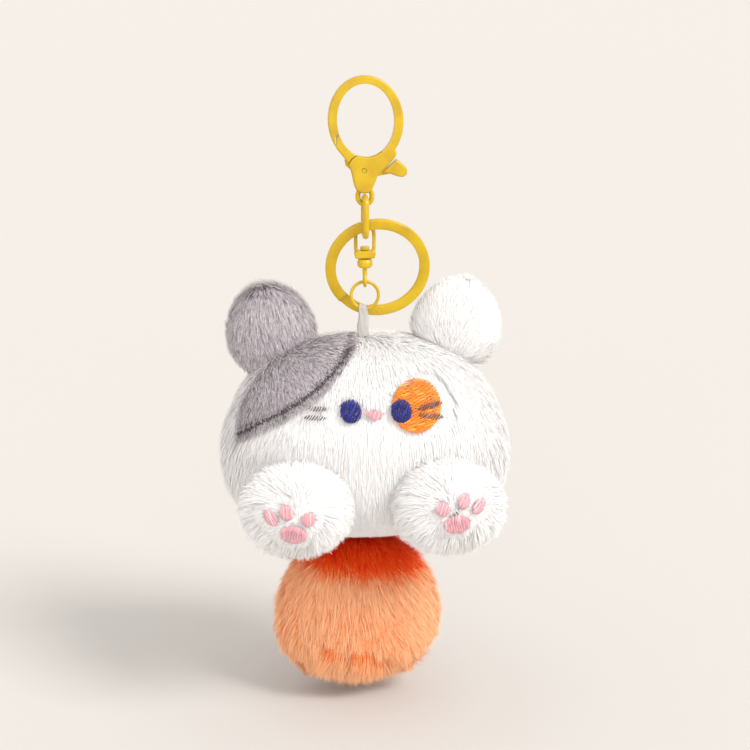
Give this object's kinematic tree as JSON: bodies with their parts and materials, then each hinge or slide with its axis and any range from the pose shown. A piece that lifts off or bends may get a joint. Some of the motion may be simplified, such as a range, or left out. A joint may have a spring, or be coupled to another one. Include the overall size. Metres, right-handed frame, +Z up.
{
  "type": "plush keychain",
  "caption": "Stuffed cat with a fluffy tail, hung by a ribbon from a swivel, split ring and lobster clasp.",
  "frame": {"origin": "inner top of the lobster clasp's bow, where the keychain hangs, in the clasp's middle plane", "axes": "+Z up along the hanging chain, the cat's face looks along -Y, +X to the viewer's right"},
  "size_m": [0.0796, 0.0701, 0.1748],
  "materials": {
    "yellow_paint": "gloss",
    "spring_steel": "satin",
    "white_plush": "matte",
    "grey_plush": "matte",
    "orange_plush": "matte",
    "stuffing": "matte",
    "clear_ribbon": "satin",
    "thread_navy": "satin",
    "thread_orange": "satin",
    "thread_pink": "satin",
    "thread_grey": "satin"
  },
  "bodies": {
    "clasp": {"clasp_body": "yellow_paint", "gate_pin": "yellow_paint", "gate_spring": "spring_steel"},
    "gate": {"clasp_gate": "yellow_paint"},
    "link": {"chain_link": "yellow_paint"},
    "ring": {"split_ring": "yellow_paint"},
    "bail": {"swivel_bail": "yellow_paint"},
    "swivel": {"swivel_eye": "yellow_paint", "swivel_collar": "yellow_paint"},
    "jump_ring": {"jump_ring": "yellow_paint"},
    "cat": {"ribbon_loop": "clear_ribbon", "head_front_panel": "white_plush", "head_back_panel": "white_plush", "ear_right_front": "white_plush", "ear_right_back": "white_plush", "paw_left_sole": "white_plush", "paw_left_cover": "white_plush", "paw_right_sole": "white_plush", "paw_right_cover": "white_plush", "grey_patch": "grey_plush", "ear_left_front": "grey_plush", "ear_left_back": "grey_plush", "head_stuffing": "stuffing", "ear_left_stuffing": "stuffing", "ear_right_stuffing": "stuffing", "paw_left_stuffing": "stuffing", "paw_right_stuffing": "stuffing", "eye_left": "thread_navy", "eye_right": "thread_navy", "eye_patch": "thread_orange", "nose": "thread_pink", "paw_left_palm": "thread_pink", "paw_left_toe_inner": "thread_pink", "paw_left_toe_middle": "thread_pink", "paw_left_toe_outer": "thread_pink", "whisker_left_upper": "thread_grey", "whisker_left_lower": "thread_grey", "paw_right_palm": "thread_pink", "paw_right_toe_inner": "thread_pink", "paw_right_toe_middle": "thread_pink", "paw_right_toe_outer": "thread_pink", "whisker_right_upper": "thread_grey", "whisker_right_lower": "thread_grey", "patch_stitching": "thread_grey"},
    "tail": {"tail_front_panel": "orange_plush", "tail_back_panel": "orange_plush", "tail_stuffing": "stuffing"}
  },
  "joints": [
    {"name": "gate_hinge", "type": "hinge", "parent": "clasp", "child": "gate", "pos_m": [-0.0003, 0, -0.0247], "axis": [0, 1, 0], "range_deg": [0, 20], "stiffness_Nm_per_rad": 0.01, "springref_deg": -17.19, "deforming": ["gate_spring"]},
    {"name": "link_swing", "type": "hinge", "parent": "clasp", "child": "link", "pos_m": [0, 0, -0.03445], "axis": [1, 0, 0], "range_deg": [-16, 16]},
    {"name": "ring_swing", "type": "hinge", "parent": "link", "child": "ring", "pos_m": [0, -0.00125, -0.0419], "axis": [1, 0, 0], "range_deg": [0, 10]},
    {"name": "bail_swing", "type": "hinge", "parent": "link", "child": "bail", "pos_m": [0, 0.00065, -0.042], "axis": [0, 1, 0], "range_deg": [-12, 12]},
    {"name": "swivel_spin", "type": "hinge", "parent": "bail", "child": "swivel", "pos_m": [0, 0.00065, -0.05], "axis": [0, 0, 1], "continuous": true},
    {"name": "jump_ring_swing", "type": "hinge", "parent": "swivel", "child": "jump_ring", "pos_m": [0, 0.00065, -0.0573], "axis": [1, 0, 0], "range_deg": [-50, 6]},
    {"name": "cat_swing", "type": "hinge", "parent": "jump_ring", "child": "cat", "pos_m": [0, 0.00065, -0.0655], "axis": [1, 0, 0], "range_deg": [-16, 12]},
    {"name": "tail_flex", "type": "hinge", "parent": "cat", "child": "tail", "pos_m": [-0.0024, 0, -0.1345], "axis": [1, 0, 0], "range_deg": [-14, 14], "stiffness_Nm_per_rad": 0.004}
  ]
}
